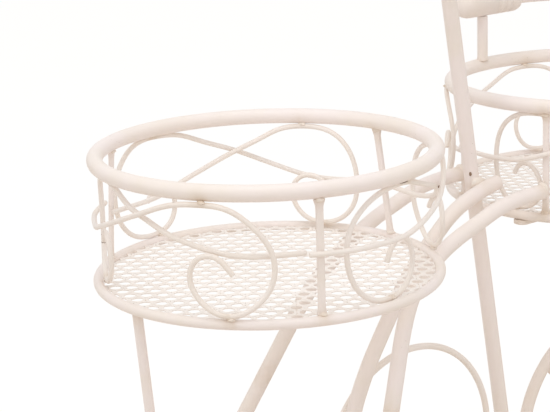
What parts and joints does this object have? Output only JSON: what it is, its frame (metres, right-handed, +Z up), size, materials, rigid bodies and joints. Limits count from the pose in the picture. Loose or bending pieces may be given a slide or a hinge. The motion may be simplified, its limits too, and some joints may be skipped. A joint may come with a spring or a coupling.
{
  "type": "flower cart stand",
  "caption": "Painted iron tricycle-shaped flower cart stand with round scrollwork baskets front and rear, handlebar, saddle and spoked wheels that turn.",
  "frame": {"origin": "on the ground, half way between the two baskets and in the middle of the cart's width", "axes": "+X towards the front basket, +Y to the cart's left, +Z up"},
  "size_m": [0.6771, 0.2926, 0.5894],
  "materials": {
    "frame_paint": "satin antique cream paint on bent tube",
    "scroll_wire": "satin antique cream paint on wire",
    "floor_sheet": "satin antique cream paint on punched sheet",
    "grip_paint": "satin antique cream paint",
    "wheel_paint": "satin antique cream paint"
  },
  "bodies": {
    "frame": {"rear_basket_rim": "frame_paint", "rear_basket_lower_ring": "frame_paint", "rear_basket_floor": "floor_sheet", "rear_basket_post_1": "frame_paint", "rear_basket_post_2": "frame_paint", "rear_basket_post_3": "frame_paint", "rear_basket_scroll_1": "scroll_wire", "rear_basket_scroll_2": "scroll_wire", "rear_basket_scroll_3": "scroll_wire", "rear_basket_scroll_4": "scroll_wire", "rear_basket_scroll_5": "scroll_wire", "rear_basket_scroll_6": "scroll_wire", "front_basket_rim": "frame_paint", "front_basket_lower_ring": "frame_paint", "front_basket_floor": "floor_sheet", "front_basket_post_1": "frame_paint", "front_basket_post_2": "frame_paint", "front_basket_post_3": "frame_paint", "front_basket_post_4": "frame_paint", "front_basket_scroll_1": "scroll_wire", "front_basket_scroll_2": "scroll_wire", "front_basket_scroll_3": "scroll_wire", "front_basket_scroll_4": "scroll_wire", "front_basket_scroll_5": "scroll_wire", "front_basket_scroll_6": "scroll_wire", "seat_tube": "frame_paint", "rear_axle": "frame_paint", "left_rail": "frame_paint", "right_rail": "frame_paint", "centre_rail": "frame_paint", "frame_ring": "frame_paint", "rear_tie": "frame_paint", "rear_stay": "frame_paint", "front_axle": "frame_paint", "rear_hub_cap_left": "frame_paint", "rear_hub_cap_right": "frame_paint", "front_axle_nut_left": "frame_paint", "front_axle_nut_right": "frame_paint", "fork_strap_left": "frame_paint", "fork_blade_left": "frame_paint", "front_stay_left": "frame_paint", "grip_left": "grip_paint", "handlebar_riser_left": "frame_paint", "fork_strap_right": "frame_paint", "fork_blade_right": "frame_paint", "front_stay_right": "frame_paint", "grip_right": "grip_paint", "handlebar_riser_right": "frame_paint", "handlebar": "frame_paint", "handlebar_riser_front": "frame_paint", "saddle": "frame_paint"},
    "rear_left_wheel": {"rear_wheel_left": "wheel_paint"},
    "rear_right_wheel": {"rear_wheel_right": "wheel_paint"},
    "front_wheel_body": {"front_wheel": "wheel_paint"}
  },
  "joints": [
    {"name": "rear_left_wheel_spin", "type": "hinge", "parent": "frame", "child": "rear_left_wheel", "pos_m": [-0.209, 0.131, 0.083], "axis": [0, 1, 0], "continuous": true},
    {"name": "rear_right_wheel_spin", "type": "hinge", "parent": "frame", "child": "rear_right_wheel", "pos_m": [-0.209, -0.131, 0.083], "axis": [0, 1, 0], "continuous": true},
    {"name": "front_wheel_spin", "type": "hinge", "parent": "frame", "child": "front_wheel_body", "pos_m": [0.198, 0, 0.1045], "axis": [0, 1, 0], "continuous": true}
  ]
}
